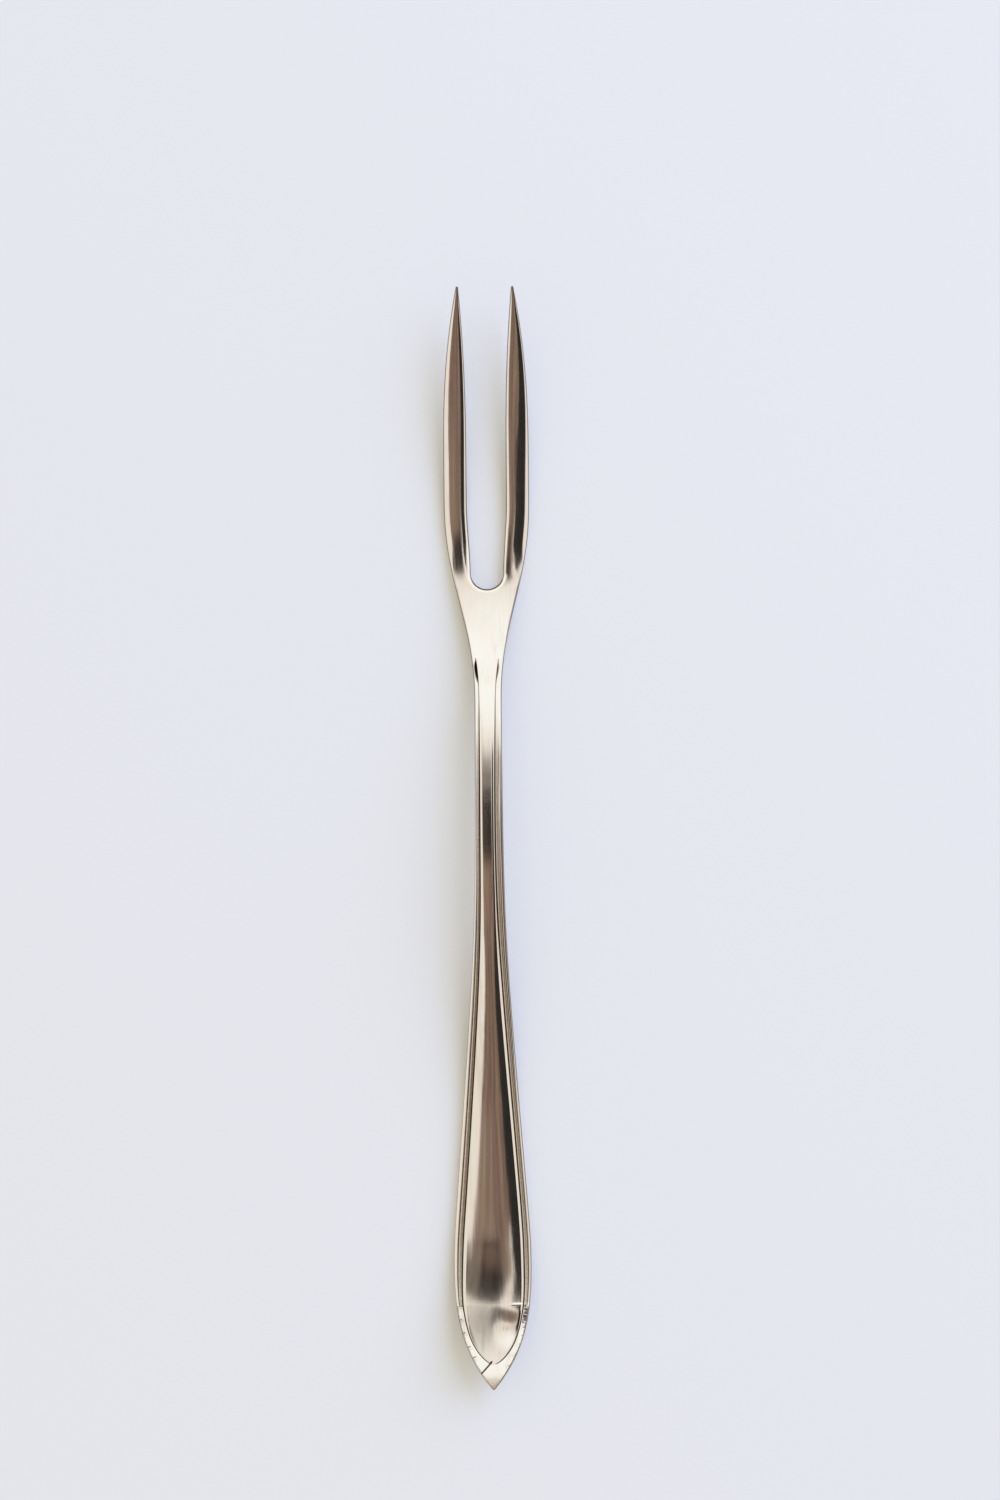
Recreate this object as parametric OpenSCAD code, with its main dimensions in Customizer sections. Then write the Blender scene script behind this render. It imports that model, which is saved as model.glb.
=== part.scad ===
// Two-tined pickle fork, struck from one blank and drawn as the regions of that blank.
// It lies face up along Y with its tines towards +Y. The table is z = 0. Sizes are in mm.

/* [Lengths] */
// Pointed end of the handle, up to where the threads stop
tip_len = 15; // [12:0.5:20]
// Threaded handle, up to where its taper ends
handle_len = 69; // [60:1:80]
// Slim shank
neck_len = 49; // [42:1:58]
// Plain shoulder, up to the root of the slot
shoulder_len = 12.5; // [11:0.5:18]
// Tines, from the root of the slot to their points
tine_len = 54.5; // [46:0.5:65]

/* [Handle outline] */
// Full width of the handle, which its eased outline nearly reaches at the widest place
handle_w = 14.1; // [12:0.1:17]
// Distance of the widest place from the point
widest_at = 26; // [22:0.5:32]
// Length over which the handle tapers to the shank
taper_len = 58; // [50:1:70]
// How softly the taper meets the widest place
widest_ease = 0.3; // [0.2:0.1:1]
// How softly the taper meets the shank
shank_ease = 1.2; // [0.5:0.1:1.6]
// Roundness of the pointed end, where a higher value is blunter
ogive = 3.3; // [2.6:0.1:4.4]
// Width of the blunted point
point_w = 0.3; // [0.2:0.1:1]

/* [Shank and head outline] */
// Width of the shank
neck_w = 4.7; // [4.4:0.1:6]
// Width over both tines at their widest
head_w = 15.6; // [13.6:0.1:18]
// How far down the shank its flare starts
flare_back = 10; // [7:0.5:14]
// Length of the flare, from the shank to the full width of the head
flare_len = 40; // [34:1:48]

/* [Tines] */
// Radius of the root of the slot
root_r = 3; // [2.5:0.1:3.4]
// Width of the slot at its widest
slot_w = 7.2; // [6.4:0.1:7.6]
// Length over which the slot widens from its root
slot_ease = 13; // [8:0.5:18]
// Length over which a tine narrows to its point
narrow_len = 30; // [20:1:38]
// Fullness of that narrowing, where a higher value keeps the tine wide for longer
narrow_full = 2.4; // [1.6:0.1:3.2]
// Distance between the points of the tines
points_apart = 10; // [8.6:0.1:11.6]
// Width of a tine at its point
prong_w = 0.4; // [0.3:0.05:0.8]
// How far a tine's edges are rounded down from its crown
tine_crown = 0.55; // [0.3:0.05:0.9]
// Length over which the crown rises from the flat shoulder
crown_in = 9; // [6:0.5:14]

/* [Thickness] */
// At the point of the handle
point_t = 1.2; // [1:0.1:1.8]
// Along the threads where the handle is widest
handle_t = 1.6; // [1.4:0.1:2.4]
// Along the threads of the shank
neck_t = 2.4; // [2:0.1:3]
// At the root of the slot
root_t = 1.9; // [1.6:0.1:2.6]
// At the points of the tines
prong_t = 0.7; // [0.5:0.05:1]
// How far the upper edges are rounded down
edge_drop = 0.3; // [0.15:0.05:0.4]
// Width of that rounding
edge_round = 0.38; // [0.3:0.02:0.42]
// Rounding of the lower edges
back_edge = 0.3; // [0.15:0.05:0.4]

/* [Side profile] */
// Height of the back at the point of the handle
tip_rise = 5.3; // [3:0.1:8]
// Height of the back where the pointed end starts to curl up
curl_rise = 0.05; // [0.05:0.05:0.5]
// Height of the back at the top of the arch
arch_rise = 4.6; // [3:0.2:7]
// Height of the back on the slope of the shoulder
shoulder_rise = 0.6; // [0.4:0.1:1.2]
// Height of the back at the points of the tines
tine_rise = 7.5; // [5:0.5:12]
// Distance of the start of the curl from the point of the handle
curl_at = 32; // [26:1:36]
// Distance of the belly from the point of the handle
belly_at = 46; // [40:1:56]
// Distance of the top of the arch from the point of the handle
arch_at = 93; // [88:1:102]
// Where the arch bends down to the shoulder, as a share of the way from its top
bend_share = 0.52; // [0.4:0.02:0.6]
// How much of the arch's height is left there, as a share
bend_rise_share = 0.76; // [0.6:0.02:0.85]
// How far down from the root of the slot the slope of the shoulder is measured
slope_back = 5.5; // [4:0.5:8]
// How far up from the root of the slot the heel touches the table
heel_up = 4.5; // [2:0.5:6]
// Depth worn flat where the belly and the heel touch the table
wear = 0.06; // [0.04:0.01:0.1]

/* [Thread border] */
// From the edge to the middle of the inner groove, where the handle is widest
border_w = 1.5; // [1.3:0.05:1.8]
// The same at the end of the threads
border_end_w = 1.2; // [1.1:0.05:1.4]
// The same where the taper meets the shank
border_neck_w = 1.3; // [1.15:0.05:1.5]
// The same where the grooves start on the shank
border_start_w = 0.95; // [0.9:0.05:1.1]
// Width of the inner groove
inner_groove_w = 0.34; // [0.24:0.02:0.4]
// Depth of the inner groove
inner_groove_d = 0.25; // [0.15:0.05:0.4]
// From the edge to the middle of the outer groove
outer_groove_at = 0.62; // [0.55:0.01:0.66]
// Width of the outer groove
outer_groove_w = 0.2; // [0.14:0.02:0.22]
// Depth of the outer groove
outer_groove_d = 0.18; // [0.1:0.02:0.3]
// Height of the rounded threads
thread_h = 0.06; // [0.03:0.01:0.12]
// Height of the panel's edge above the threads
lip_h = 0.1; // [0:0.02:0.2]
// Height of the panel's crown where the handle is widest
crown_h = 0.65; // [0.3:0.05:0.9]
// The same at the end of the threads
crown_end_h = 0.38; // [0.2:0.02:0.6]
// The same on the taper
crown_taper_h = 0.42; // [0.25:0.01:0.6]
// The same where the taper meets the shank
crown_neck_h = 0.2; // [0.1:0.02:0.4]
// The same at the top of the arch, where the panel is nearly flat
crown_arch_h = 0.06; // [0.02:0.02:0.2]
// Length over which the grooves deepen from the shoulder
groove_in = 5; // [2:0.5:8]
// Length over which the threads stop at the pointed end
thread_out = 0.4; // [0.3:0.1:1]
// Length of the panel's rounded end
panel_end_len = 10.5; // [8:0.5:11]

/* [Notched band] */
// Spacing of the notches along the band
notch_gap = 2.35; // [1.8:0.05:3]
// Depth of a notch
notch_d = 0.14; // [0.08:0.02:0.24]
// Length of a notch along the edge
notch_len = 0.5; // [0.4:0.05:0.7]

/* [Hidden] */

silver = [0.84, 0.81, 0.76];

fork_len = tip_len + handle_len + neck_len + shoulder_len + tine_len;
y_point = -fork_len / 2;
y_handle = y_point + tip_len;
y_neck = y_handle + handle_len;
y_shoulder = y_neck + neck_len;
y_root = y_shoulder + shoulder_len;
y_prong = y_root + tine_len;
y_widest = y_point + widest_at;
y_narrow = y_prong - narrow_len;
y_panel_end = y_handle - panel_end_len;

// Steps between the cross sections of the long regions, and of the finely shaped ones
step = 2;
fine_step = 0.6;
// A panel never closes to less than this half width, so that its columns stay apart
panel_min = 0.1;
// Shares of the half width that the inner groove and the lower edges may take where it closes
groove_share = 0.45;
edge_share = 0.4;
// How the rounding of the upper edges is drawn: a middle point, as shares of its width and drop
round_share = 0.4;
drop_share = 0.2;
// Where a point of the back lies under the panel, as a share of the panel's half width
back_column = 0.8;
// Where the crown of the taper is measured, as a share of the way from the widest place
taper_share = 0.75;
// Roundness of the panel's end, and of a tine's crown
panel_round = 0.75;
crown_round = 3;

// Easing and blending
function clamp01(t) = min(1, max(0, t));
function smooth(t) = let (u = clamp01(t)) u * u * (3 - 2 * u);
function smoother(t) = let (u = clamp01(t)) u * u * u * (10 + u * (6 * u - 15));
function mix(a, b, t) = a + (b - a) * t;
function soft_max(a, b, ease) = (a + b + sqrt(pow(a - b, 2) + ease * ease)) / 2;
function soft_min(a, b, ease) = -soft_max(-a, -b, ease);

// A smooth curve through stations [position, value] that turns only at its stations
function secant(p, i) = (p[i + 1][1] - p[i][1]) / (p[i + 1][0] - p[i][0]);
function inner_slope(p, i) =
    let (a = secant(p, i - 1), b = secant(p, i)) a * b <= 0 ? 0 : 2 * a * b / (a + b);
function slope(p, i) =
    i == 0 ? (3 * secant(p, 0) - inner_slope(p, 1)) / 2
    : i == len(p) - 1 ? (3 * secant(p, i - 1) - inner_slope(p, i - 1)) / 2
    : inner_slope(p, i);
function span(p, y, i = 0) = i >= len(p) - 2 || y <= p[i + 1][0] ? i : span(p, y, i + 1);
function curve(p, y) =
    let (i = span(p, y), h = p[i + 1][0] - p[i][0], t = (y - p[i][0]) / h)
    p[i][1] * (1 + 2 * t) * pow(1 - t, 2) + slope(p, i) * h * t * pow(1 - t, 2)
    + p[i + 1][1] * t * t * (3 - 2 * t) + slope(p, i + 1) * h * t * t * (t - 1);
// The same curve, level beyond its ends
function held(p, y) = curve(p, min(max(y, p[0][0]), p[len(p) - 1][0]));

// Side profile: the back touches the table at the belly and at the heel, where it is worn flat
y_arch = y_point + arch_at;
y_slope = y_root - slope_back;
profile = [
    [y_point, tip_rise], [y_point + curl_at, curl_rise], [y_point + belly_at, -wear],
    [y_arch, arch_rise],
    [mix(y_arch, y_slope, bend_share), mix(shoulder_rise, arch_rise, bend_rise_share)],
    [y_slope, shoulder_rise], [y_root + heel_up, -wear], [y_prong, tine_rise]];
function back_z(y) = max(0, curve(profile, y));

thickness = [
    [y_point, point_t], [y_widest, handle_t], [y_arch, neck_t],
    [y_root, root_t], [y_prong, prong_t]];
function border_z(y) = curve(profile, y) + curve(thickness, y);

// Outline: half the width of the fork
function shank_half(y) =
    let (taper = mix(handle_w, neck_w, (y - y_widest) / taper_len) / 2)
    soft_max(soft_min(taper, handle_w / 2, widest_ease), neck_w / 2, shank_ease);
function ogive_share(y) = 1 - pow(max(0, 1 - (y - y_point) / widest_at), ogive);
function flare(y) = smoother((y - y_shoulder + flare_back) / flare_len);
function narrow(y) = pow(clamp01((y - y_narrow) / narrow_len), narrow_full);
function outer_half(y) =
    mix(mix(mix(point_w / 2, shank_half(y), ogive_share(y)), head_w / 2, flare(y)),
        (points_apart + prong_w) / 2, narrow(y));

// Border: distance of the inner groove from the edge, and how deep the threads are struck
border = [
    [y_handle, border_end_w], [y_widest, border_w], [y_neck, border_neck_w],
    [y_shoulder, border_start_w]];
function groove_at(y) = held(border, y);
function groove_relief(y) = smooth((y_shoulder - y) / groove_in);
function thread_relief(y) = groove_relief(y) * clamp01(1 - (y_handle - y) / thread_out);
// Half width of the panel: beyond the threads it closes in a rounded end inside the band
function panel_half(y) =
    let (half = outer_half(y), full = outer_half(y_handle) - groove_at(y_handle),
         closing = pow(max(0, 1 - pow((y_handle - y) / panel_end_len, 2)), panel_round))
    y >= y_handle ? half - groove_at(y)
    : min(half - min(half, border_end_w) / 2, max(panel_min, full * closing));
crown_line = [
    [y_panel_end, 0], [y_handle, crown_end_h], [y_widest, crown_h],
    [mix(y_widest, y_neck, taper_share), crown_taper_h], [y_neck, crown_neck_h],
    [y_arch, crown_arch_h], [y_shoulder, 0]];
function panel_lip(y) = lip_h * groove_relief(y)
    * (y >= y_handle ? 1 : smooth((panel_half(y) - panel_min) / border_w));
// The engraved line round the panel's end runs out where the panel closes
function line_depth(y) = inner_groove_d * groove_relief(y)
    * (y >= y_handle ? 1 : clamp01((panel_half(y) - panel_min) / inner_groove_w));

// Half of a cross section of the handle, shank or shoulder, from its top to its back
panel_columns = [0, 0.3, 0.6, 0.85, 1];
function half_section(y, notch) =
    let (half = outer_half(y), z = border_z(y), back = back_z(y), groove = panel_half(y),
         reach = min(inner_groove_w / 2, groove * groove_share),
         panel = groove - reach, start = groove + reach,
         nominal = groove_at(y) - inner_groove_w / 2,
         width = half - start, relief = thread_relief(y),
         bead = thread_h * relief, cut = outer_groove_d * relief,
         crown = held(crown_line, y), lip = panel_lip(y),
         inset = min(back_edge, half * edge_share))
    concat(
        [for (f = panel_columns) [f * panel, z + lip + crown * (1 - f * f)]],
        [[groove, z - line_depth(y)]],
        // Each row is a place across the border, from the edge, and its height
        [for (p = [
            [nominal, 0],
            [(nominal + outer_groove_at + outer_groove_w / 2) / 2, bead - notch],
            [outer_groove_at + outer_groove_w / 2, -notch],
            [outer_groove_at, -cut - notch],
            [outer_groove_at - outer_groove_w / 2, -notch],
            [edge_round, bead - notch],
            [edge_round * round_share, -edge_drop * drop_share - notch],
            [0, -edge_drop - notch / 2]])
            [start + width * (1 - p[0] / nominal), z + p[1]]],
        [[half, back + back_edge], [half - inset, back], [panel * back_column, back], [0, back]]);

function whole_section(y, notch = 0) =
    let (right = half_section(y, notch), n = len(right))
    concat([for (p = right) [p[0], y, p[1]]],
           [for (i = [n - 2:-1:1]) [-right[i][0], y, right[i][1]]]);

// Triangles that close the right half of such a section: the last three points lie on the back
half_count = 18;
half_cap = concat(
    [[0, 1, 17], [1, 16, 17]],
    [for (i = [1:4]) [i, i + 1, 16]],
    [[5, 15, 16]],
    [for (i = [5:13]) [i, i + 1, 15]]);
whole_count = 2 * half_count - 2;
whole_cap = concat(
    half_cap,
    [for (t = half_cap) [for (i = [2:-1:0]) (whole_count - t[i]) % whole_count]]);

// Cross section of the right tine, from the inner side over the crown to the outer side
tine_columns = [-0.8, -0.55, -0.28, 0, 0.28, 0.55, 0.8];
function slot_half(y) =
    let (up = y - y_root)
    up < root_r ? sqrt(max(0, root_r * root_r - pow(root_r - up, 2)))
    : mix(mix(root_r, slot_w / 2, smooth((up - root_r) / slot_ease)),
          (points_apart - prong_w) / 2, narrow(y));
function tine_section(y) =
    let (outer = outer_half(y), inner = slot_half(y), middle = (outer + inner) / 2,
         half = (outer - inner) / 2, z = border_z(y), back = back_z(y),
         share = min(1, half / edge_round / 4, curve(thickness, y) / root_t),
         drop = edge_drop * share, low = back_edge * share,
         crown = tine_crown * share * smooth((y - y_root) / crown_in),
         grow = smooth((y - y_root) / root_r),
         round_w = edge_round * share, flat = 1 - round_w / half,
         round_z = z - crown * pow(1 - round_w * round_share / half, crown_round))
    [for (p = concat(
        [[inner, back + grow * low], [inner, z - grow * drop - crown],
         [inner + round_w * round_share, round_z - grow * drop * drop_share]],
        [for (v = concat([-flat], tine_columns, [flat]))
            [middle + v * half, z - crown * pow(abs(v), crown_round)]],
        [[outer - round_w * round_share, round_z - drop * drop_share], [outer, z - drop - crown],
         [outer, back + low], [outer - low, back], [inner + low, back]]))
        [p[0], y, p[1]]];

// Triangles that close such a section: its last two points lie on the back
tine_cap = concat(
    [for (i = [0:6]) [i, i + 1, 16]],
    [[7, 15, 16]],
    [for (i = [7:13]) [i, i + 1, 15]]);

// A closed solid through rings of points, with the triangles that close a ring
module loft(rings, cap) {
    n = len(rings[0]);
    last = len(rings) - 1;
    polyhedron(
        points = [for (ring = rings) each ring],
        faces = concat(
            cap,
            [for (t = cap) [for (i = [2:-1:0]) last * n + t[i]]],
            [for (j = [0:last - 1], i = [0:n - 1])
                let (k = (i + 1) % n)
                each [[j * n + i, (j + 1) * n + i, (j + 1) * n + k],
                      [j * n + i, (j + 1) * n + k, j * n + k]]]));
}

function stations(from, to, gap) =
    let (n = ceil((to - from) / gap)) [for (i = [0:n]) mix(from, to, i / n)];

// The notches lie across the band beyond the threads, and stop short of the plain point
function notch_depth(y) =
    let (along = (y_handle - y) / notch_gap, off = abs(along - round(along)) * notch_gap)
    y > y_handle - notch_gap / 2 || y < y_panel_end ? 0
    : notch_d * (off < notch_len / 2 ? 1 : 0);
// Length over which a notch deepens
notch_ramp = 0.1;
// Shares of the length of the panel's end at which its curve closes fastest
panel_end_steps = [0.985, 0.96];
notch_count = floor((panel_end_len * panel_end_steps[1] - notch_len) / notch_gap);
tip_stations = concat(
    stations(y_point, y_panel_end, fine_step),
    [for (f = panel_end_steps) y_handle - panel_end_len * f],
    [for (i = [notch_count:-1:1]) let (y = y_handle - i * notch_gap)
        each [y - notch_len / 2 - notch_ramp, y - notch_len / 4,
              y + notch_len / 4, y + notch_len / 2 + notch_ramp]],
    [y_handle - thread_out, y_handle]);

module handle_tip() color(silver)
    loft([for (y = tip_stations) whole_section(y, notch_depth(y))], whole_cap);

module handle() color(silver)
    loft([for (y = stations(y_handle, y_neck, step)) whole_section(y)], whole_cap);

module neck() color(silver)
    loft([for (y = concat(stations(y_neck, y_shoulder - groove_in, step),
                          [y_shoulder - groove_in / 2, y_shoulder]))
        whole_section(y)], whole_cap);

module shoulder() color(silver)
    loft([for (y = stations(y_shoulder, y_root, step)) whole_section(y)], whole_cap);

// The root of the slot is round, so its first sections are spaced by angle
root_sections = 8;
tine_stations = concat(
    [for (i = [0:root_sections]) y_root + root_r * (1 - cos(90 * i / root_sections))],
    [for (y = stations(y_root + root_r, y_prong, step)) if (y > y_root + root_r) y]);

module right_tine() color(silver)
    loft([for (y = tine_stations) tine_section(y)], tine_cap);

module left_tine() mirror([1, 0, 0]) right_tine();

handle_tip();
handle();
neck();
shoulder();
left_tine();
right_tine();
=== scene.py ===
import math
import bmesh
import bpy
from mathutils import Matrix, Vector


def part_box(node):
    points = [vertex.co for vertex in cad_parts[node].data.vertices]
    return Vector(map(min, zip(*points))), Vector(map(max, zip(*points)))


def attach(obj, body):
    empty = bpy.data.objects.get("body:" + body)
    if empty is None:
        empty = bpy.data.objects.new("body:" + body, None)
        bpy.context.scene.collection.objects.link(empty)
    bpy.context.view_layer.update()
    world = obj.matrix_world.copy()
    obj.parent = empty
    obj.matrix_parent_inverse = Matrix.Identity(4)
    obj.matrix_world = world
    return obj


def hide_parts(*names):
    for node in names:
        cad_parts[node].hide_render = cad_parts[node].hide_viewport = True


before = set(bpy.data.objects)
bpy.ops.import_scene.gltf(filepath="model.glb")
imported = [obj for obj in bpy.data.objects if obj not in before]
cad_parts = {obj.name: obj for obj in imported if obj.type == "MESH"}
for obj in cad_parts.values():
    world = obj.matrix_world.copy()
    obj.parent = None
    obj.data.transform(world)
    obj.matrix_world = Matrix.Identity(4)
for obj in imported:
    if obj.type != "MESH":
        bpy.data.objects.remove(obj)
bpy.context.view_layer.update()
mm = 0.001  # shapes are worked out in millimetres
print("frame loaded with", len(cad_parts), "regions")


# easing and blending
def clamp01(t):
    return min(1.0, max(0.0, t))


def smooth(t):
    u = clamp01(t)
    return u * u * (3 - 2 * u)


def smoother(t):
    u = clamp01(t)
    return u * u * u * (10 + u * (6 * u - 15))


def mix(a, b, t):
    return a + (b - a) * t


def softMax(a, b, ease):
    return (a + b + math.sqrt((a - b) ** 2 + ease * ease)) / 2


def softMin(a, b, ease):
    return -softMax(-a, -b, ease)


# a curve through given stations (place, value) that turns only at its stations
class Curve:
    def __init__(self, stations):
        self.at = [s[0] for s in stations]
        self.value = [s[1] for s in stations]
        last = len(stations) - 1
        secants = [(b[1] - a[1]) / (b[0] - a[0]) for a, b in zip(stations, stations[1:])]
        inner = [0.0] * (last + 1)
        for i in range(1, last):
            a, b = secants[i - 1], secants[i]
            inner[i] = 0.0 if a * b <= 0 else 2 * a * b / (a + b)
        self.slope = list(inner)
        self.slope[0] = (3 * secants[0] - inner[1]) / 2
        self.slope[last] = (3 * secants[-1] - inner[last - 1]) / 2

    def __call__(self, place):
        i = 0
        while i < len(self.at) - 2 and place > self.at[i + 1]:
            i += 1
        h = self.at[i + 1] - self.at[i]
        t = (place - self.at[i]) / h
        return (self.value[i] * (1 + 2 * t) * (1 - t) ** 2 + self.slope[i] * h * t * (1 - t) ** 2
                + self.value[i + 1] * t * t * (3 - 2 * t) + self.slope[i + 1] * h * t * t * (t - 1))

    def held(self, place):
        # the same curve, level beyond its ends
        return self(min(self.at[-1], max(self.at[0], place)))


# where the regions meet along the fork, from the solids themselves
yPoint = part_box("handle_tip")[0].y / mm
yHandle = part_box("handle_tip")[1].y / mm
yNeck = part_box("handle")[1].y / mm
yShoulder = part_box("neck")[1].y / mm
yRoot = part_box("shoulder")[1].y / mm
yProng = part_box("left_tine")[1].y / mm

sideShape = {
    # heights of the back, and where they are
    "tipRise": 5.3, "curlRise": 0.05, "archRise": 4.6, "shoulderRise": 0.6, "tineRise": 7.5,
    "curlAt": 32, "bellyAt": 46, "archAt": 93, "slopeBack": 5.5, "heelUp": 4.5,
    "bendAt": 0.52, "bendLeft": 0.76,  # shares of the arch's length and height
    "wear": 0.06,  # worn flat where it touches the table
    "pointThick": 1.33, "endThick": 1.36, "handleThick": 1.6, "thickAt": 26,
    "neckThick": 2.4, "rootThick": 1.9, "prongThick": 0.7,
    "soften": 1.2, "softenPlaces": 3,  # heights on each side are averaged, so that reflections run on
}
yArch = yPoint + sideShape["archAt"]
ySlope = yRoot - sideShape["slopeBack"]
sideCurve = Curve([
    (yPoint, sideShape["tipRise"]), (yPoint + sideShape["curlAt"], sideShape["curlRise"]),
    (yPoint + sideShape["bellyAt"], -sideShape["wear"]), (yArch, sideShape["archRise"]),
    (mix(yArch, ySlope, sideShape["bendAt"]),
     mix(sideShape["shoulderRise"], sideShape["archRise"], sideShape["bendLeft"])),
    (ySlope, sideShape["shoulderRise"]),
    (yRoot + sideShape["heelUp"], -sideShape["wear"]), (yProng, sideShape["tineRise"])])
thickCurve = Curve([
    (yPoint, sideShape["pointThick"]), (yHandle, sideShape["endThick"]),
    (yPoint + sideShape["thickAt"], sideShape["handleThick"]), (yArch, sideShape["neckThick"]),
    (yRoot, sideShape["rootThick"]), (yProng, sideShape["prongThick"])])


def sideZ(y):
    step, places = sideShape["soften"], sideShape["softenPlaces"]
    ease = min(1.0, (y - yPoint) / (places * step), (yProng - y) / (places * step))  # none at the ends
    heights = [sideCurve(y + k * step * ease) for k in range(-places, places + 1)]
    return sum(heights) / len(heights)


def backZ(y):
    return max(0.0, sideZ(y))


def borderZ(y):
    return sideZ(y) + thickCurve(y)


outlineShape = {
    "handleW": 14.1, "widestAt": 26, "taperLen": 58, "widestEase": 0.3, "shankEase": 1.2,
    "ogive": 3.3, "pointW": 0.3,
    "neckW": 4.7, "headW": 15.6, "flareBack": 10, "flareLen": 40,
    "narrowLen": 30, "narrowFull": 2.4, "pointsApart": 10, "prongW": 0.4,
    "rootR": 3, "slotW": 7.2, "slotEase": 13,
}


def narrowing(y):
    o = outlineShape
    return clamp01((y - yProng + o["narrowLen"]) / o["narrowLen"]) ** o["narrowFull"]


def outerHalf(y):
    o = outlineShape
    taper = mix(o["handleW"], o["neckW"], (y - yPoint - o["widestAt"]) / o["taperLen"]) / 2
    shank = softMax(softMin(taper, o["handleW"] / 2, o["widestEase"]), o["neckW"] / 2, o["shankEase"])
    point = 1 - max(0.0, 1 - (y - yPoint) / o["widestAt"]) ** o["ogive"]
    half = mix(o["pointW"] / 2, shank, point)
    half = mix(half, o["headW"] / 2, smoother((y - yShoulder + o["flareBack"]) / o["flareLen"]))
    return mix(half, (o["pointsApart"] + o["prongW"]) / 2, narrowing(y))


def slotHalf(y):
    o = outlineShape
    up = y - yRoot
    if up < o["rootR"]:
        return math.sqrt(max(0.0, o["rootR"] ** 2 - (o["rootR"] - up) ** 2))
    wide = mix(o["rootR"], o["slotW"] / 2, smooth((up - o["rootR"]) / o["slotEase"]))
    return mix(wide, (o["pointsApart"] - o["prongW"]) / 2, narrowing(y))


def slotGap(x, y):
    # distance of a place on the face from the edge of the slot
    r = outlineShape["rootR"]
    if y < yRoot + r:
        return math.hypot(x, yRoot + r - y) - r
    return abs(x) - slotHalf(y)


rootShade = {"depth": 0.26, "reach": 0.45, "from": 0.5, "fade": 3}  # painted shade, darkest along the slot's edge at its root


# painted shade at the root of the slot, added to the depth of cuts so that it darkens like a cut
def slotRootShade(x, y):
    d = rootShade
    near = 1 - smooth(slotGap(x, y) / d["reach"])
    return d["depth"] * near * (1 - smooth((y - yRoot - d["from"]) / d["fade"]))


wallShape = {
    "corner": 0.32, "cornerShare": 0.4, "cornerSteps": 5,  # rounding along the back
    "levels": (0.25, 0.5, 0.75),  # shares of the way down
    "pastOutline": 0.3,  # the walls count as this far from the edge, so the painted dark outline (painted shade and dark reflection on the rounded edge) stays off them
}


# down a side wall and round its lower edge, as x, height, depth of cuts, distance from edge, dullness
def wallDown(x, top, back, corner, turn=1):
    w = wallShape
    bottom = back + corner
    places = [(x, mix(top, bottom, k)) for k in w["levels"]]
    for k in range(w["cornerSteps"]):
        a = math.radians(90 * k / w["cornerSteps"])
        places.append((x - turn * corner * (1 - math.cos(a)), bottom - corner * math.sin(a)))
    return [(px, pz, 0.0, w["pastOutline"], 0.0) for px, pz in places]


threadShape = {
    # places across the border count from its outer edge, on a border of nominal width
    "atGroove": 1.5, "grooveW": 0.34, "grooveShare": 0.45,
    "grooveIn": 5, "grooveOut": 2.5,  # it comes in at the shoulder and runs out into the engraved line
    "startDepth": 0.45, "depthIn": 25,  # shallower near the shoulder
    "threadFrom": 3, "threadIn": 50, "threadOut": 0.4,  # the threads come in slowly along the shank
    "bevelFrom": 2.4, "bevelIn": 4,  # the outer bevel comes in where the fork gets wider
    "lipPanel": 2.4, "lipOut": 9,  # the raised lip inside the groove
    "panelEnd": 10.5, "panelRound": 6, "panelMin": 0.08,  # the rounded end of the panel at the tip
    # dips of the border beside the panel's start, left and right, pointed where they start
    "wedge": {-1: 0.46, 1: 0.18}, "wedgeEdge": {-1: 0.1, 1: 0.5},
    "wedgeIn": 1.5, "wedgeLen": 5.5, "wedgeRun": 3.5, "wedgePoint": 1.2, "wedgeWiden": 2.2,
    "dullFrom": 0.7, "dullIn": 0.12, "dullTo": 1.36, "dullOut": 0.1,  # the strip between the grooves, painted tan: partly tarnish, partly a painted reflection of the brown room
    "wornLen": 3.2, "wornIn": 3, "wornDull": 1.4,  # the plate is worn off the very point
    "leftOutlineFaint": 0.1,  # the painted dark outline of shade and dark reflection is fainter along the left edge
    "lineDark": 2.6,  # dirt makes a shallow line look deeper
    "slotNear": 1.5,  # the slot's own edge counts this close to its root
    "edge": Curve([(0, -0.34), (0.05, -0.2), (0.14, -0.07), (0.27, -0.01), (0.38, 0)]),
    "bevel": Curve([(0, -0.08), (0.05, -0.13), (0.1, -0.14), (0.2, -0.15), (0.3, -0.12), (0.4, -0.06),
                    (0.53, 0)]),
    "threads": Curve([(0.5, 0), (0.56, -0.04), (0.62, -0.14), (0.67, -0.19), (0.72, -0.14), (0.78, -0.04),
                      (0.86, 0.01), (1.0, 0.03), (1.12, 0.03), (1.22, 0.01), (1.3, 0)]),
    "groove": Curve([(1.3, 0), (1.37, -0.1), (1.43, -0.23), (1.47, -0.27), (1.52, -0.2), (1.6, -0.11),
                     (1.78, -0.05), (2.05, 0)]),
    "line": Curve([(1.33, 0), (1.39, -0.05), (1.5, -0.1), (1.61, -0.05), (1.67, 0)]),
    "lip": Curve([(1.5, 0), (1.7, 0.03), (1.9, 0.08), (2.05, 0.105), (2.2, 0.11)]),
    "slotEdge": Curve([(0, -0.3), (0.08, -0.17), (0.2, -0.08), (0.4, -0.02), (0.6, 0)]),
}
yWidest = yPoint + outlineShape["widestAt"]
borderWidth = Curve([(yHandle, 1.2), (yWidest, 1.5), (yNeck, 1.3), (yShoulder, 0.95)])  # to the groove
crownHeight = Curve([
    (yHandle - threadShape["panelEnd"], 0), (yHandle, 0.4), (yWidest, 0.68),
    (mix(yWidest, yNeck, 0.75), 0.42), (yNeck, 0.2), (yArch, 0.06), (yShoulder, 0)])
strikeShift = Curve([  # the pattern isn't struck quite in the middle
    (yHandle, 0), (yHandle + 21, 0.16), (yNeck - 14, 0), (yNeck + 18, -0.3), (yShoulder, -0.1)])
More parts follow.
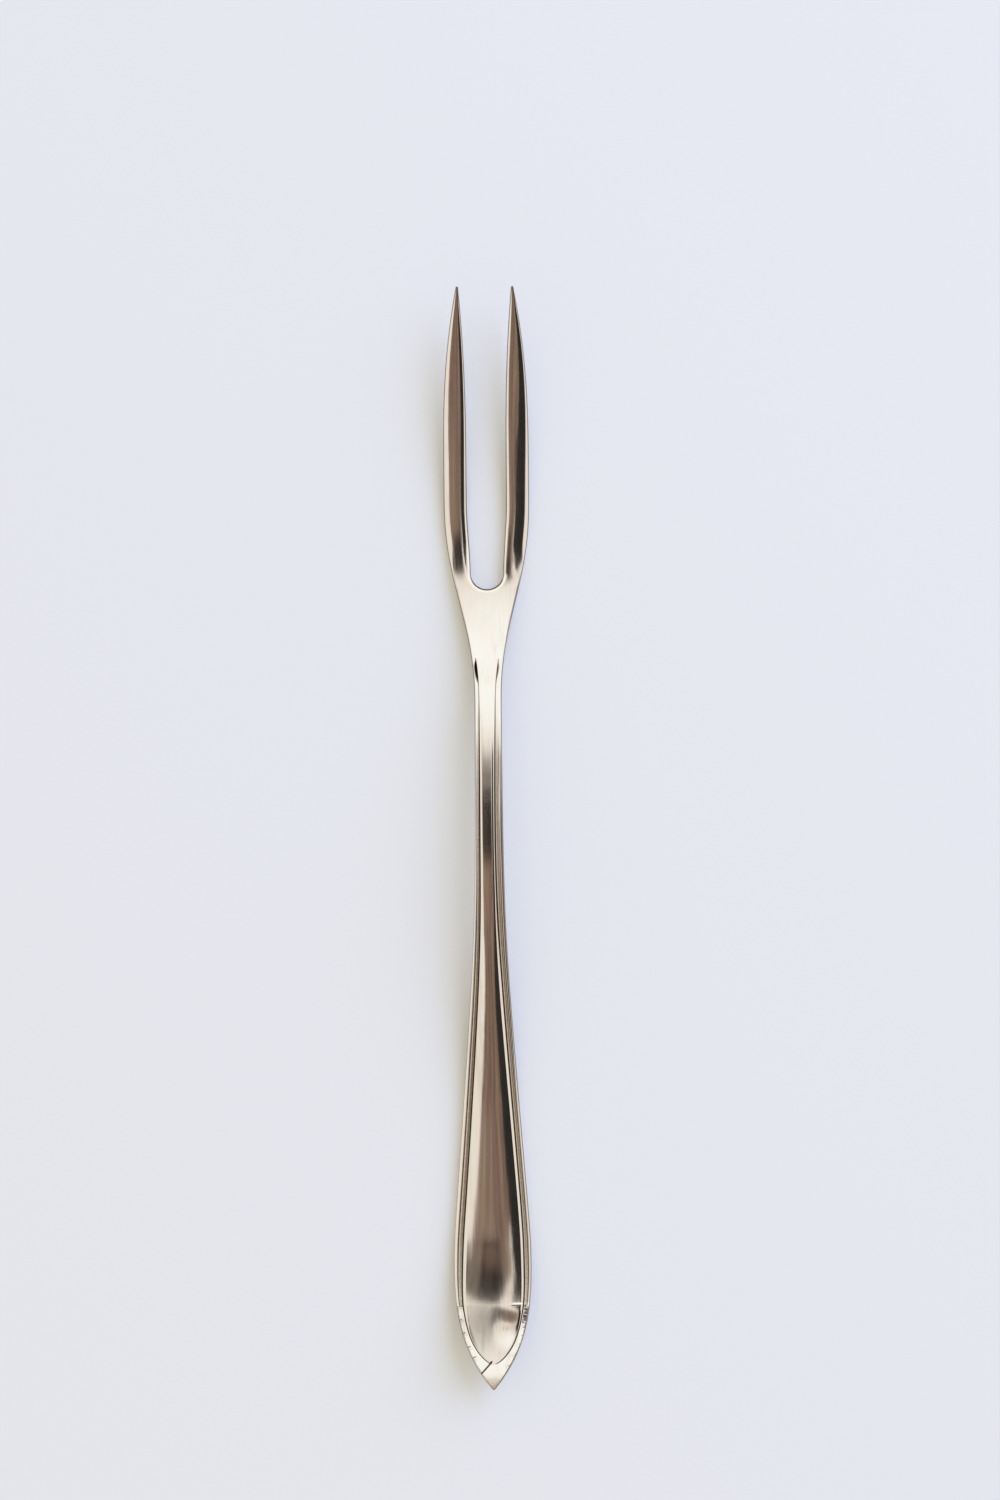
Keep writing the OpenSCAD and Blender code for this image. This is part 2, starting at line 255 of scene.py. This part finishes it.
borderColumns = [0, 0.02, 0.05, 0.09, 0.14, 0.2, 0.27, 0.34, 0.42, 0.48, 0.53, 0.57, 0.6, 0.62, 0.64,
                 0.67, 0.71, 0.75, 0.8, 0.88, 0.97, 1.06, 1.15, 1.23, 1.28, 1.33]  # from the edge inwards
grooveColumns = [0.7, 0.4, 0.15, -0.15, -0.4, -0.7]  # across the inner groove
panelColumns = [1, 0.98, 0.96, 0.94, 0.92, 0.9, 0.87, 0.83, 0.77, 0.7, 0.62, 0.53, 0.43, 0.34, 0.26,
                0.19, 0.13, 0.08, 0.05, 0.025, 0]  # from the groove to the middle
backColumns = [0.97, 0.9, 0.8, 0.65, 0.45, 0.22, 0]


def panelHalf(y):
    t = threadShape
    half = outerHalf(y)
    if y >= yHandle:
        return half - borderWidth.held(y)
    border = borderWidth.held(yHandle)
    share = math.sqrt(max(0.0, 1 - ((yHandle - y) / t["panelEnd"]) ** t["panelRound"]))
    return min(half - min(half, border) / 2, max(t["panelMin"], (half - border) * share))


bandShape = {
    # how far beyond the threads each tick is, and its length
    "leftTicks": [(0.35, 1.0), (2.75, 0.35), (5.1, 0.45), (7.6, 0.55), (9.5, 0.75)],
    "rightTicks": [(0.55, 0.8), (1.8, 0.7), (3.0, 0.55), (4.2, 0.4), (5.6, 0.3), (7.1, 0.3), (8.9, 0.25),
                   (11.0, 0.5)],
    "tickIn": 0.08, "tickW": 0.085, "tickDepth": 0.013, "tickDark": 12.5,  # dirt makes them look deeper
    "dentFrom": (0.55, 0.9), "dentTo": (0.65, 0.5), "dentW": 0.5, "dentDepth": 0.02,  # one by each tick
    "cross": (-0.35, 4.85, -2.35, 2.7, 0.13, 0.025),  # the line from the panel's end to the left edge
    "ridge": (3.8, 0.0, 6.5, 0.0, 0.16, -0.035),  # a burr across the right side where the threads stop
    "marksTo": 0.5,  # none of these marks reaches further up the handle
    "dishFrom": -1.0, "dishTo": 3.6, "dishLen": 8.5, "dishDepth": 0.17,  # the hollow beyond that burr
}


def dishAt(x, y):
    b = bandShape
    beyond = (yHandle - y) / b["dishLen"]
    if beyond <= 0 or beyond >= 1:
        return 0.0
    share = smooth((x - b["dishFrom"]) / (b["dishTo"] - b["dishFrom"]))
    return b["dishDepth"] * share * math.sin(math.pi * beyond) ** 2


# marks on the band, each a short line from one place to another with its width and depth
def bandMarks():
    b = bandShape
    ticks, dents = [], []
    for side, row in ((-1, b["leftTicks"]), (1, b["rightTicks"])):
        for beyond, long in row:
            y = yHandle - beyond
            edge = outerHalf(y)
            lean = (outerHalf(y + 0.1) - outerHalf(y - 0.1)) / 0.2  # the tick is square to the edge
            size = math.hypot(1, lean)
            x = edge - b["tickIn"]
            endX, endY = x - long / size, y + long * lean / size
            ticks.append((side * x, y, side * endX, endY, b["tickW"], b["tickDepth"]))
            (in0, down0), (in1, down1) = b["dentFrom"], b["dentTo"]
            dents.append((side * (edge - in0), y - down0, side * (edge - in1), y - down1,
                          b["dentW"], b["dentDepth"]))
    x0, up0, x1, up1, width, depth = b["cross"]
    ticks.append((x0, yPoint + up0, x1, yPoint + up1, width, depth))
    x0, up0, x1, up1, width, depth = b["ridge"]
    ridges = [(x0, yHandle + up0, x1, yHandle + up1, width, depth)]
    return ridges, ticks, dents


tipRidges, tipTicks, tipDents = bandMarks()


def markDepth(x, y, marks):
    total = 0.0
    for x0, y0, x1, y1, width, depth in marks:
        dx, dy = x1 - x0, y1 - y0
        t = clamp01(((x - x0) * dx + (y - y0) * dy) / (dx * dx + dy * dy))
        off = math.hypot(x - x0 - t * dx, y - y0 - t * dy) / width
        if off < 3:  # nothing is left beyond three widths
            total += depth * math.exp(-off * off)
    return total


# half of a cross section of the handle, shank or shoulder, from its middle over the edge to its back
def halfSection(y, side):
    t = threadShape
    half, top, back = outerHalf(y), borderZ(y), backZ(y)
    below = yShoulder - y  # distance from the shoulder
    above = y - yHandle  # distance from the end of the threads
    shift = side * strikeShift.held(y)
    groove = panelHalf(y) + shift
    reach = min(t["grooveW"] / 2, groove * t["grooveShare"])
    panel, start = groove - reach, groove + reach
    atGroove = t["atGroove"]
    crown = crownHeight.held(y)

    # how far each feature has come in at this place
    lineIn = smooth(below / t["grooveIn"])
    threadIn = lineIn * clamp01(1 + above / t["threadOut"])
    threadIn *= smooth((below - t["threadFrom"]) / t["threadIn"])
    bevelIn = threadIn * smooth((half - t["bevelFrom"]) / t["bevelIn"])
    deepIn = mix(t["startDepth"], 1, smooth(below / t["depthIn"]))
    closing = lineDeep = 1.0
    if above < 0:
        closing = smooth((groove - t["panelMin"]) / atGroove)
        lineDeep = clamp01((groove - t["panelMin"]) / t["grooveW"])
    lipIn = lineIn * closing * deepIn * smooth((above + t["lipOut"]) / t["lipOut"])
    lipScale = min(1.0, groove / t["lipPanel"])
    grooveIn = smooth((above + t["grooveOut"]) / t["grooveOut"])
    cutIn = lineIn * lineDeep * deepIn
    wedge = t["wedge"][side] * smooth(below / t["wedgeIn"])
    wedge *= smooth((t["wedgeLen"] - below) / t["wedgeRun"])
    wedgeEdge = mix(t["wedgePoint"], t["wedgeEdge"][side], smooth(below / t["wedgeWiden"]))
    worn = t["wornDull"] * smooth((yPoint + t["wornLen"] - y) / t["wornIn"])
    leftOutlineEase = t["leftOutlineFaint"] * threadIn if side < 0 else 0.0

    # x, height, depth of what is cut there with dirt and painted shade added, distance from the edge for
    # the painted outline, dullness with painted reflection
    def spot(x, e, f):
        edge = t["edge"].held(half - x) + bevelIn * t["bevel"].held(e)
        line = cutIn * (1 - grooveIn) * t["line"].held(e)
        cut = threadIn * t["threads"].held(e) + line + cutIn * grooveIn * t["groove"].held(e)
        cut += lipIn * t["lip"].held(atGroove + max(0.0, e - atGroove) / lipScale)
        dirtAndShade = line * (1 - t["lineDark"])
        if wedge > 0 and e < atGroove:
            cut -= wedge * smooth((e - wedgeEdge) / (atGroove - wedgeEdge))
        if above < bandShape["marksTo"]:
            ticks = markDepth(side * x, y, tipTicks)
            cut -= markDepth(side * x, y, tipRidges) + ticks
            dirtAndShade += ticks * (bandShape["tickDark"] - 1)
            edge -= markDepth(side * x, y, tipDents)
        # rim sets where the painted dark outline goes: painted shade and dark reflection along the edges
        rim = half - x + leftOutlineEase
        if y > yRoot - t["slotNear"]:
            gap = slotGap(x, y)
            edge += t["slotEdge"].held(gap)
            rim = min(rim, gap)
            # painted shade along the slot's root
            dirtAndShade += slotRootShade(x, y)
        dullAndReflection = threadIn * smooth((e - t["dullFrom"]) / t["dullIn"])
        dullAndReflection *= smooth((t["dullTo"] - e) / t["dullOut"])
        z = top + edge + cut + crown * max(0.0, 1 - f * f) - dishAt(side * x, y)
        return x, z, max(0.0, dirtAndShade - cut), rim, max(dullAndReflection, worn)

    points = []
    for f in reversed(panelColumns):
        x = f * panel
        points.append(spot(x, atGroove + groove - x, (x - shift) / (panel - shift)))
    for g in reversed(grooveColumns):
        points.append(spot(groove + g * reach, atGroove - g * t["grooveW"] / 2, 1.0))
    for e in reversed(borderColumns):
        points.append(spot(start + (half - start) * (1 - e / borderColumns[-1]), e, 1.0))
    corner = min(wallShape["corner"], half * wallShape["cornerShare"])
    points += wallDown(half, points[-1][1], back, corner)
    points += [((half - corner) * f, back, 0.0, 1.0, 0.0) for f in backColumns]
    return points


def wholeSection(y):
    right = halfSection(y, 1)
    left = halfSection(y, -1)
    return right + [(-p[0],) + p[1:] for p in reversed(left[1:-1])]


tineShape = {
    "crown": 0.55, "crownIn": 9, "crownRound": 3, "fullHalf": 1.52,
    "roll": {"right_tine": 0.22, "left_tine": 0.0},  # how much the face leans outwards
    "columns": [-0.9, -0.8, -0.68, -0.55, -0.42, -0.28, -0.14, 0,
                0.14, 0.28, 0.42, 0.55, 0.68, 0.8, 0.9],
    "edgeColumns": [0, 0.02, 0.05, 0.1, 0.16, 0.24, 0.34],
    "backSteps": 8,
}


# cross section of a tine, drawn on the right, from the inner side over the crown to the outer side
def tineSection(y, node):
    s = tineShape
    outer, inner = outerHalf(y), slotHalf(y)
    middle, half = (outer + inner) / 2, (outer - inner) / 2
    top, back = borderZ(y), backZ(y)
    share = min(1.0, half / s["fullHalf"], thickCurve(y) / sideShape["rootThick"])
    comeIn = smooth((y - yRoot) / s["crownIn"])
    crown = s["crown"] * share * comeIn
    roll = s["roll"][node] * comeIn * share * (1 - narrowing(y))
    corner = wallShape["corner"] * share
    innerCorner = corner * smooth((y - yRoot) / outlineShape["rootR"])
    reach = s["edgeColumns"][-1] * share / half

    def spot(x):
        gap = slotGap(x, y)
        z = top - crown * abs((x - middle) / half) ** s["crownRound"] - roll * (x - middle)
        z += share * threadShape["edge"].held((outer - x) / share)
        z += share * threadShape["slotEdge"].held(gap / share)
        return x, z, slotRootShade(x, y), min(outer - x, gap), 0.0

    places = [inner + e * share for e in s["edgeColumns"]]
    places += [middle + v * (1 - reach) * half for v in s["columns"]]
    places += [outer - e * share for e in reversed(s["edgeColumns"])]
    points = [spot(x) for x in places]
    innerTop, outerTop = points[0][1], points[-1][1]
    points += wallDown(outer, outerTop, back, corner)
    for k in range(s["backSteps"] + 1):
        points.append((mix(outer - corner, inner + innerCorner, k / s["backSteps"]), back, 0.0, 1.0, 0.0))
    points += reversed(wallDown(inner, innerTop, back, innerCorner, turn=-1))
    return points


# one region of the fork: a plain tube with loop cuts, drawn out along the stations
def drawRegion(name, stations, section, flip=1):
    rings = [section(y) for y in stations]
    count = len(rings[0])
    bm = bmesh.new()
    bmesh.ops.create_cone(bm, cap_ends=True, cap_tris=False, segments=count, radius1=1, radius2=1, depth=1)
    lengthwise = [e for e in bm.edges if abs(e.verts[0].co.z - e.verts[1].co.z) > 0.5]
    bmesh.ops.subdivide_edges(bm, edges=lengthwise, cuts=len(stations) - 2)
    layers = [bm.verts.layers.float.new(key) for key in ("recess", "rim", "dullAndReflection")]
    for v in bm.verts:
        k = round(math.atan2(v.co.x, v.co.y) / (2 * math.pi) * count) % count
        j = round((v.co.z + 0.5) * (len(stations) - 1))
        x, z = rings[j][k][:2]
        v.co = Vector((flip * x * mm, stations[j] * mm, z * mm))
        for layer, value in zip(layers, rings[j][k][2:]):
            v[layer] = value
    for f in bm.faces:
        f.smooth = len(f.verts) == 4
        if len(f.verts) > 4:
            for e in f.edges:
                e.smooth = False
    bmesh.ops.recalc_face_normals(bm, faces=bm.faces)
    mesh = bpy.data.meshes.new(name)
    bm.to_mesh(mesh)
    bm.free()
    piece = bpy.data.objects.new(name, mesh)
    bpy.context.scene.collection.objects.link(piece)
    return piece


# stations along the fork, from runs of start, end and spacing
def placesFor(*runs):
    places = []
    for start, end, gap in runs:
        count = max(1, math.ceil((end - start) / gap))
        spread = [mix(start, end, i / count) for i in range(count + 1)]
        places += spread[1:] if places else spread
    return places


rootR, rootSteps = outlineShape["rootR"], 40
rootTurns = [math.radians(90 * i / rootSteps) for i in range(rootSteps + 1)]
rootPlaces = [yRoot + rootR * (1 - math.cos(a)) for a in rootTurns]
tinePlaces = rootPlaces + placesFor((yRoot + rootR, yProng - 6, 0.4), (yProng - 6, yProng, 0.15))[1:]
tipPlaces = placesFor((yPoint, yHandle, 0.06))
handlePlaces = placesFor((yHandle, yHandle + 1, 0.1), (yHandle + 1, yNeck, 0.4))
neckPlaces = placesFor((yNeck, yShoulder - 5, 0.4), (yShoulder - 5, yShoulder, 0.1))
shoulderPlaces = placesFor((yShoulder, yRoot - 1.5, 0.3), (yRoot - 1.5, yRoot, 0.06))

regions = {
    "handle_tip": drawRegion("pointedEnd", tipPlaces, wholeSection),
    "handle": drawRegion("threadedHandle", handlePlaces, wholeSection),
    "neck": drawRegion("slimNeck", neckPlaces, wholeSection),
    "shoulder": drawRegion("flatShoulder", shoulderPlaces, wholeSection),
    "right_tine": drawRegion("rightTine", tinePlaces, lambda y: tineSection(y, "right_tine")),
    "left_tine": drawRegion("leftTine", tinePlaces, lambda y: tineSection(y, "left_tine"), flip=-1),
}
for node, piece in regions.items():
    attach(piece, "root")
    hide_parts(node)
    print("drew", piece.name, "with", len(piece.data.polygons), "faces")


# a socket that can be used in sums, so that 1 - mask adds its own Math node
class Wire:
    def __init__(self, tree, socket=None):
        self.tree = tree
        self.socket = socket

    def node(self, kind, settings=None, sockets=None, out=0):
        made = self.tree.nodes.new(kind)
        for key, value in (settings or {}).items():
            setattr(made, key, value)
        for key, value in (sockets or {}).items():
            if isinstance(value, Wire):
                self.tree.links.new(value.socket, made.inputs[key])
            else:
                made.inputs[key].default_value = value
        return Wire(self.tree, made.outputs[out] if made.outputs else None)

    def also(self, out):
        # another output of the same node
        return Wire(self.tree, self.socket.node.outputs[out])

    def math(self, operation, a, b):
        return self.node("ShaderNodeMath", {"operation": operation}, {0: a, 1: b})

    def __add__(self, other):
        return self.math("ADD", self, other)

    def __radd__(self, other):
        return self.math("ADD", other, self)

    def __sub__(self, other):
        return self.math("SUBTRACT", self, other)

    def __rsub__(self, other):
        return self.math("SUBTRACT", other, self)

    def __mul__(self, other):
        return self.math("MULTIPLY", self, other)

    def __rmul__(self, other):
        return self.math("MULTIPLY", other, self)

    def __truediv__(self, other):
        return self.math("DIVIDE", self, other)

    def __pow__(self, other):
        return self.math("POWER", self, other)

    def orMore(self, other):
        return self.math("MAXIMUM", self, other)

    def between(self, low, high):
        # 0 below low, 1 above high, with a soft step
        return self.node("ShaderNodeMapRange", {"interpolation_type": "SMOOTHSTEP"},
                         {"Value": self, "From Min": low, "From Max": high})

    def past(self, edge, soft):
        return self.between(edge - soft, edge + soft)

    def blend(self, a, b):
        # a colour between a and b, with this socket as the share of b
        return self.node("ShaderNodeMix", {"data_type": "RGBA"}, {0: self, 6: a, 7: b}, out=2)


silverLook = {
    "bright": (0.96, 0.94, 0.9, 1), "hazed": (0.87, 0.82, 0.75, 1), "haze": 0.3,
    "warm": (0.97, 0.91, 0.87, 1), "cool": (0.93, 0.95, 0.9, 1),
    # tarnish for scratches and cuts, and near-black soot for the deepest cuts; both also paint the painted
    # dark outline's shade along the edges
    "tarnishAndShade": (0.26, 0.19, 0.11, 1), "sootAndShade": (0.05, 0.035, 0.035, 1),
    "dullAndReflection": (0.62, 0.52, 0.38, 1), "dullShare": 0.6,  # the strip between the grooves and the worn point: tan from tarnish and wear, and on the strip partly a painted reflection of the brown room
    "rough": 0.1, "hazeRough": 0.1, "grooveRough": 0.3, "dullRough": 0.25,
    "outline": (0.1, 0.22), "outlineDark": 0.9, "outlineSoot": 0.45,  # a painted dark outline along the edges, standing in for shade and dark reflection on the rounded edge: distances from the edge, and shares
    "tarnishDepth": (0.05, 0.13), "sootDepth": (0.12, 0.22),  # depths of cuts over which they come in
    # grains in waves per metre; polishing marks run along the fork, with a depth in metres
    "streakGrain": (800, 12, 800), "streak": 0.000008, "streakTarnish": 0.1,
    "scratchGrain": (2600, 70, 2600), "scratch": 0.000003, "scratchTarnish": 0.03,
    "tintGrain": (500, 60, 500), "blotchGrain": (160, 160, 160), "patchGrain": (2500, 2500, 2500),
}


def makeSilver():
    look = silverLook
    material = bpy.data.materials.new("wornSilverPlate")
    material.use_nodes = True
    tree = material.node_tree
    tree.nodes.clear()
    w = Wire(tree)
    place = w.node("ShaderNodeTexCoord", out=3)
    recess = w.node("ShaderNodeAttribute", {"attribute_name": "recess"}, out=2)
    rim = w.node("ShaderNodeAttribute", {"attribute_name": "rim"}, out=2)
    dullAndReflection = w.node("ShaderNodeAttribute", {"attribute_name": "dullAndReflection"}, out=2)

    def noise(grain, detail):
        spot = w.node("ShaderNodeMapping", None, {"Vector": place, "Scale": grain})
        return w.node("ShaderNodeTexNoise", None, {"Vector": spot, "Scale": 1.0, "Detail": detail})

    streak = noise(look["streakGrain"], 3.0)
    scratch = noise(look["scratchGrain"], 2.0)
    blotch = noise(look["blotchGrain"], 3.0)
    patch = noise(look["patchGrain"], 3.0)
    tint = noise(look["tintGrain"], 2.0).between(0.35, 0.65).blend(look["cool"], look["warm"])

    # painted dark outline along the edges: painted shade and dark reflection, not tarnish
    outline = 1 - rim.between(*look["outline"])
    dark = recess.between(*look["tarnishDepth"]).orMore(outline * look["outlineDark"])
    haze = blotch.between(0.45, 0.7) * look["haze"] + streak.between(0.5, 0.75) * look["haze"]
    marks = scratch.between(0.52, 0.72) * look["scratchTarnish"]
    marks = marks + streak.between(0.5, 0.7) * look["streakTarnish"]
    # the worn point, and the strip between the grooves, whose tan is partly a painted reflection
    worn = dullAndReflection * (0.7 + 0.6 * patch.between(0.35, 0.65))
    sootAndShade = recess.between(*look["sootDepth"]) + outline * look["outlineSoot"]
    colour = haze.blend(look["bright"], look["hazed"])
    colour = (0.25 + 0.5 * scratch).blend(colour, tint)
    colour = marks.blend(colour, look["tarnishAndShade"])
    colour = (worn * look["dullShare"]).blend(colour, look["dullAndReflection"])
    # tarnish in cuts, and painted shade along the edges
    colour = (dark * (0.6 + 0.4 * blotch)).blend(colour, look["tarnishAndShade"])
    colour = sootAndShade.blend(colour, look["sootAndShade"])
    rough = look["rough"] + haze * look["hazeRough"] + dark * look["grooveRough"] + dullAndReflection * look["dullRough"]
    height = streak * look["streak"] + scratch * look["scratch"]
    bump = w.node("ShaderNodeBump", None, {"Strength": 1.0, "Distance": 1.0, "Height": height})
    shader = w.node("ShaderNodeBsdfPrincipled", None, {
        "Base Color": colour, "Metallic": 1.0, "Roughness": rough, "Normal": bump})
    w.node("ShaderNodeOutputMaterial", None, {"Surface": shader})
    return material


silver = makeSilver()
for piece in regions.values():
    piece.data.materials.append(silver)
print("silver made")

table = {"colour": (0.8, 0.8, 0.815, 1), "size": 6.0, "rough": 0.7, "gloss": 0.1}


def makeFloor():
    bm = bmesh.new()
    bmesh.ops.create_grid(bm, x_segments=1, y_segments=1, size=table["size"] / 2)
    mesh = bpy.data.meshes.new("floor")
    bm.to_mesh(mesh)
    bm.free()
    floor = bpy.data.objects.new("floor", mesh)
    bpy.context.scene.collection.objects.link(floor)
    material = bpy.data.materials.new("paleTable")
    material.use_nodes = True
    shader = material.node_tree.nodes["Principled BSDF"]
    shader.inputs["Base Color"].default_value = table["colour"]
    shader.inputs["Roughness"].default_value = table["rough"]
    shader.inputs["Specular IOR Level"].default_value = table["gloss"]
    mesh.materials.append(material)


room = {
    "backdrop": (0.8, 0.8, 0.82, 1),  # what the camera sees beyond the table
    "ambient": (0.8, 0.75, 0.6, 1),  # what lights the table
    # the rest is what the metal reflects, with places as slopes from straight up
    "cream": (0.84, 0.755, 0.675, 1), "white": (1.0, 0.985, 0.95, 1), "whiteOver": (0.13, 0.32),
    "glint": (1.1, 1.3), "glintSize": 0.6, "glintColour": (2.2, 2.2, 2.3, 1),
    # a brown zone with darker and lighter patches
    "left": -0.38, "front": 0.142,
    "brown": (0.25, 0.165, 0.135, 1), "deepBrown": (0.16, 0.095, 0.075, 1),
    "umber": (0.14, 0.08, 0.07, 1), "ochre": (0.3, 0.22, 0.125, 1), "pinkish": (0.4, 0.29, 0.25, 1),
    "lanes": (24.0, 5.0), "shelves": (7.0, 3.0), "shelvesOn": 4.0,
    # a slanted black zone on its right, with a bright wedge and a thin line of light beside it
    "slant": 0.135, "slantTo": 0.15,
    "black": (0.02, 0.019, 0.018, 1), "blackFrom": 0.335, "blackTo": 1.3, "sideFront": 0.17,
    "wedgeOver": (0.18, 0.26), "wedgeBack": 0.085, "lightOver": (0.29, 0.31), "lightBack": 0.115,
    "sideOver": (0.32, 0.355),
    # a dark bar along the end of the brown zone, and the dark lens straight above
    "bar": (0.085, 0.075, 0.055, 1), "barLight": (0.2, 0.165, 0.13, 1),
    "barFrom": 0.02, "barTo": 0.137, "barLeft": -0.55, "barRight": 0.21,
    "lens": (0.012, 0.009, 0.009, 1), "lensLight": (0.06, 0.042, 0.038, 1),
    "lensLeft": -0.2, "lensRight": 0.13, "lensFrom": -0.015, "lensIn": 0.035, "lensTo": 0.135,
}


# colour of the room in the direction of the slopes x and y
def roomColour(w, x, y):
    r = room
    slanted = x + r["slant"] * y.between(0.0, r["slantTo"])
    front = r["front"] - r["wedgeBack"] * slanted.between(*r["wedgeOver"])
    front = front - r["lightBack"] * slanted.between(*r["lightOver"])
    comesBack = r["sideFront"] - r["front"] + r["wedgeBack"] + r["lightBack"]
    front = front + slanted.between(*r["sideOver"]) * comesBack
    wall = x.past(r["left"], 0.03) * (1 - x.past(r["blackTo"], 0.2)) * (1 - (y - front).past(0, 0.015))
    doorway = slanted.past(r["blackFrom"], 0.02)
    lens = x.past(r["lensLeft"], 0.03) * (1 - x.past(r["lensRight"], 0.03))
    lens = lens * y.between(r["lensFrom"], r["lensFrom"] + r["lensIn"]) * (1 - y.past(r["lensTo"], 0.01))
    bar = y.past(r["barFrom"], 0.02) * (1 - y.past(r["barTo"], 0.03))
    bar = bar * x.past(r["barLeft"], 0.05) * (1 - slanted.past(r["barRight"], 0.03))

    laneX, laneY = r["lanes"]
    lanes = w.node("ShaderNodeCombineXYZ", None, {0: x * laneX, 1: y * laneY})  # the handle draws them out
    clutter = w.node("ShaderNodeTexNoise", None, {"Vector": lanes, "Scale": 1.0, "Detail": 3.0})
    shelfX, shelfY = r["shelves"]
    spots = w.node("ShaderNodeCombineXYZ", None, {0: x * shelfX, 1: y * shelfY + r["shelvesOn"]})
    shelves = w.node("ShaderNodeTexNoise", None, {"Vector": spots, "Scale": 1.0, "Detail": 2.0})

    brown = y.between(-0.32, -0.12).blend(r["deepBrown"], r["brown"])
    brown = (x.between(0.0, 0.2) * 0.6).blend(brown, r["deepBrown"])
    brown = (clutter.between(0.48, 0.62) * 0.85).blend(brown, r["umber"])
    brown = (shelves.between(0.5, 0.62) * 0.7).blend(brown, r["ochre"])
    brown = ((1 - clutter).between(0.55, 0.66) * 0.5).blend(brown, r["pinkish"])
    lensColour = clutter.between(0.45, 0.65).blend(r["lens"], r["lensLight"])
    barColour = clutter.between(0.42, 0.62).blend(r["bar"], r["barLight"])
    dark = doorway.blend(lens.blend(brown, lensColour), r["black"])

    bright = y.between(*r["whiteOver"]).blend(r["cream"], r["white"])
    glintX, glintY = r["glint"]
    away = ((x - glintX) ** 2.0 + (y - glintY) ** 2.0) ** 0.5
    bright = away.between(r["glintSize"] / 2, r["glintSize"]).blend(r["glintColour"], bright)
    return (bar * (1 - lens)).blend(wall.blend(bright, dark), barColour)


def makeWorld():
    world = bpy.data.worlds.new("softRoom")
    world.use_nodes = True
    tree = world.node_tree
    tree.nodes.clear()
    w = Wire(tree)
    across = w.node("ShaderNodeSeparateXYZ", None, {0: w.node("ShaderNodeTexCoord")})
    along = across.also(1)
    up = across.also(2).orMore(0.02)  # never level
    mirrored = w.node("ShaderNodeLightPath", out=3)
    seen = mirrored.also(0)
    colour = mirrored.blend(room["ambient"], roomColour(w, across / up, along / up))
    colour = seen.blend(colour, room["backdrop"])
    glow = w.node("ShaderNodeBackground", None, {"Color": colour, "Strength": 1.0})
    w.node("ShaderNodeOutputWorld", None, {"Surface": glow})
    bpy.context.scene.world = world


window = {"from": (2.1, 1.6, 1.7), "size": 3.8, "power": 112.0, "colour": (0.4, 0.55, 1.0)}


def makeLamp():
    lamp = bpy.data.lights.new("window", "AREA")
    lamp.shape = "DISK"
    lamp.size = window["size"]
    lamp.energy = window["power"]
    lamp.color = window["colour"]
    holder = bpy.data.objects.new("window", lamp)
    spot = Vector(window["from"])
    holder.location = spot
    holder.rotation_euler = (-spot).to_track_quat("-Z", "Y").to_euler()
    holder.visible_glossy = False  # the metal sees it as the glint in the room
    bpy.context.scene.collection.objects.link(holder)


view = {
    "lens": 85.0, "sensor": 36.0, "pictureTall": 1500,
    "scale": 5.482,  # picture points to a millimetre at the height focusZ
    "centre": (2.1, 16.1), "focusZ": 3.0, "roll": -0.49, "nearest": 0.01,
}


def makeCamera():
    camera = bpy.data.cameras.new("overhead")
    camera.lens = view["lens"]
    camera.sensor_fit = "VERTICAL"
    camera.sensor_height = view["sensor"]
    camera.clip_start = view["nearest"]
    tall = view["pictureTall"] / view["scale"]  # millimetres that the picture's height takes in
    away = tall * view["lens"] / view["sensor"] + view["focusZ"]
    holder = bpy.data.objects.new("overhead", camera)
    holder.location = (view["centre"][0] * mm, view["centre"][1] * mm, away * mm)
    holder.rotation_euler = (0, 0, math.radians(view["roll"]))
    bpy.context.scene.collection.objects.link(holder)
    bpy.context.scene.camera = holder


makeFloor()
makeWorld()
makeLamp()
makeCamera()
bpy.context.scene.view_settings.view_transform = "Standard"
print("studio set")
